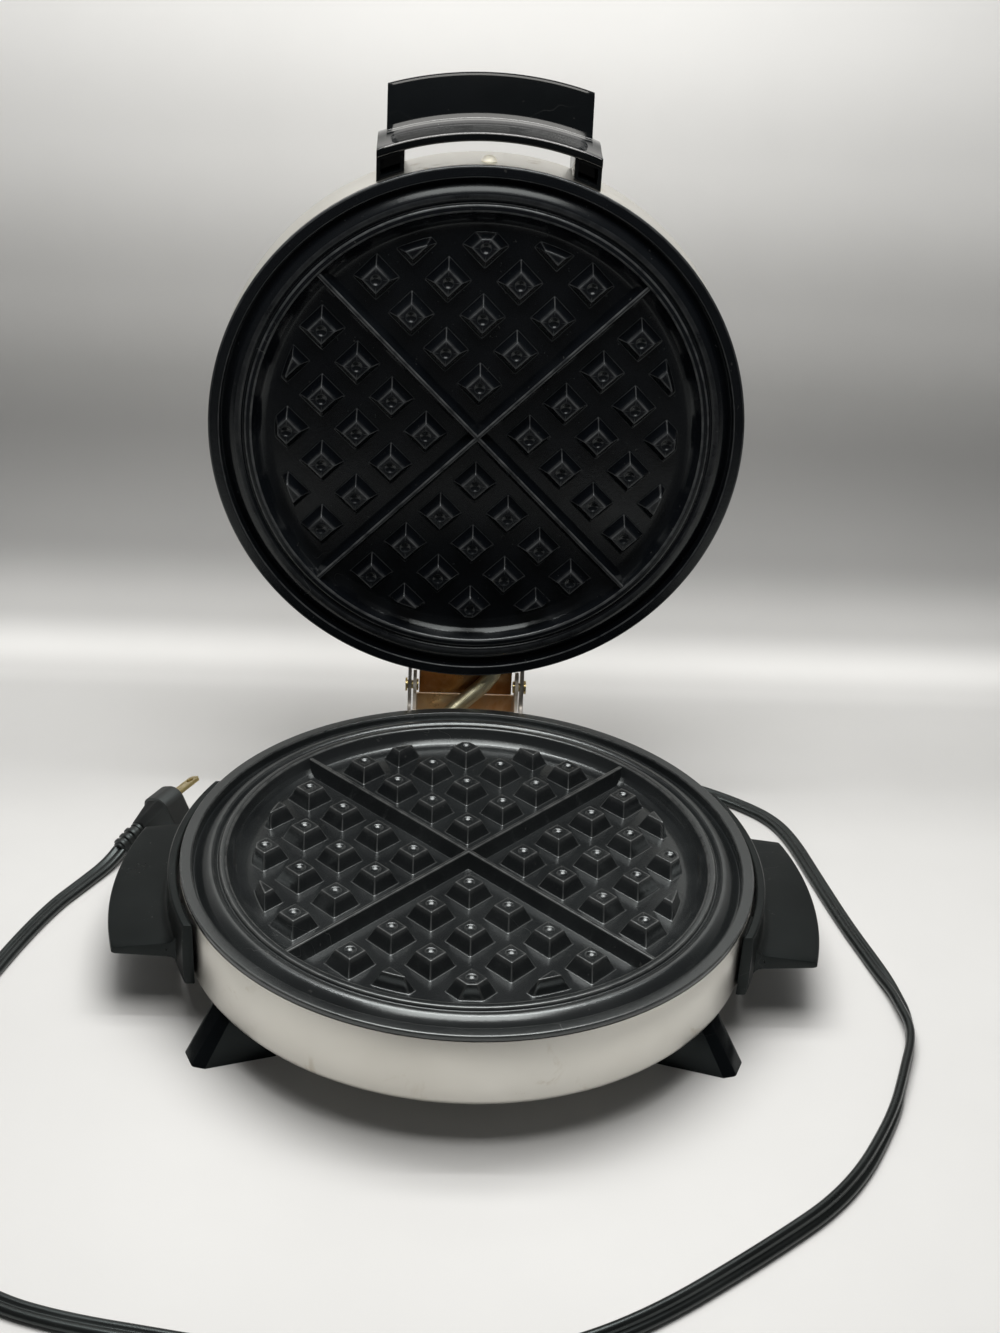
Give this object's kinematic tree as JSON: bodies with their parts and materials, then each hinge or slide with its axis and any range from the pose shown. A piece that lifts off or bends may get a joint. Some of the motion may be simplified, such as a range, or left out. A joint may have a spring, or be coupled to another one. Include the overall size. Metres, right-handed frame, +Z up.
{
  "type": "belgian waffle maker",
  "caption": "Round waffle maker with a hinged lid, two deep dark studded grids, steel shells, black side and lid handles, splayed legs and a flat cord with plug.",
  "frame": {"origin": "on the table under the middle of the object's box, measured with the lid open and without the cord and plug", "axes": "+X to the object's right seen from the front, +Y to the back where the hinge is, +Z up; the front faces -Y"},
  "size_m": [0.3881, 0.3721, 0.3294],
  "materials": {
    "nonstick": "dark non-stick coating, semi-gloss",
    "steel": "satin",
    "aluminised": "dull",
    "handle_black": "matte",
    "leg_black": "gloss",
    "bracket": "heat-stained",
    "brass": "polished",
    "zinc": "satin",
    "conduit_metal": "satin",
    "cord_black": "satin",
    "element_metal": "dull",
    "lens": "translucent",
    "lamp_glass": "clear",
    "ceramic": "glazed",
    "lead_sleeve": "braided sleeve"
  },
  "bodies": {
    "base": {"lower_grid": "nonstick", "base_shell": "steel", "bottom_pan": "aluminised", "left_side_handle": "handle_black", "right_side_handle": "handle_black", "left_handle_screws": "zinc", "right_handle_screws": "zinc", "front_left_leg": "leg_black", "front_right_leg": "leg_black", "back_left_leg": "leg_black", "back_right_leg": "leg_black", "leg_screws": "zinc", "leg_nuts": "zinc", "bottom_screws": "zinc", "base_hinge_bracket": "bracket", "hinge_pins": "brass", "base_bracket_rivets": "zinc", "conduit": "conduit_metal", "lower_heating_element": "element_metal", "lower_element_clips": "zinc", "lower_clip_screws": "zinc", "lower_reflector": "aluminised", "thermostat": "ceramic", "cord_strain_relief": "cord_black", "power_cord": "cord_black", "plug_strain_relief": "cord_black", "plug_body": "cord_black", "plug_blades": "brass", "wire_connectors": "ceramic", "base_leads": "lead_sleeve"},
    "lid": {"upper_grid": "nonstick", "lid_shell": "steel", "lid_handle": "handle_black", "lid_handle_screws": "zinc", "lid_screws": "zinc", "lid_hinge_bracket": "bracket", "lid_bracket_rivets": "zinc", "upper_heating_element": "element_metal", "upper_element_clips": "zinc", "upper_clip_screws": "zinc", "upper_reflector": "aluminised", "thermal_cutout": "element_metal", "cutout_strap": "zinc", "pilot_lens": "lens", "pilot_lamp": "lamp_glass", "pilot_lens_retainer": "zinc", "lid_leads": "lead_sleeve"}
  },
  "joints": [
    {"name": "lid_hinge", "type": "hinge", "parent": "base", "child": "lid", "pos_m": [0, 0.10387, 0.05786], "axis": [1, 0, 0], "range_deg": [0, 90.37], "deforming": ["conduit"]}
  ]
}
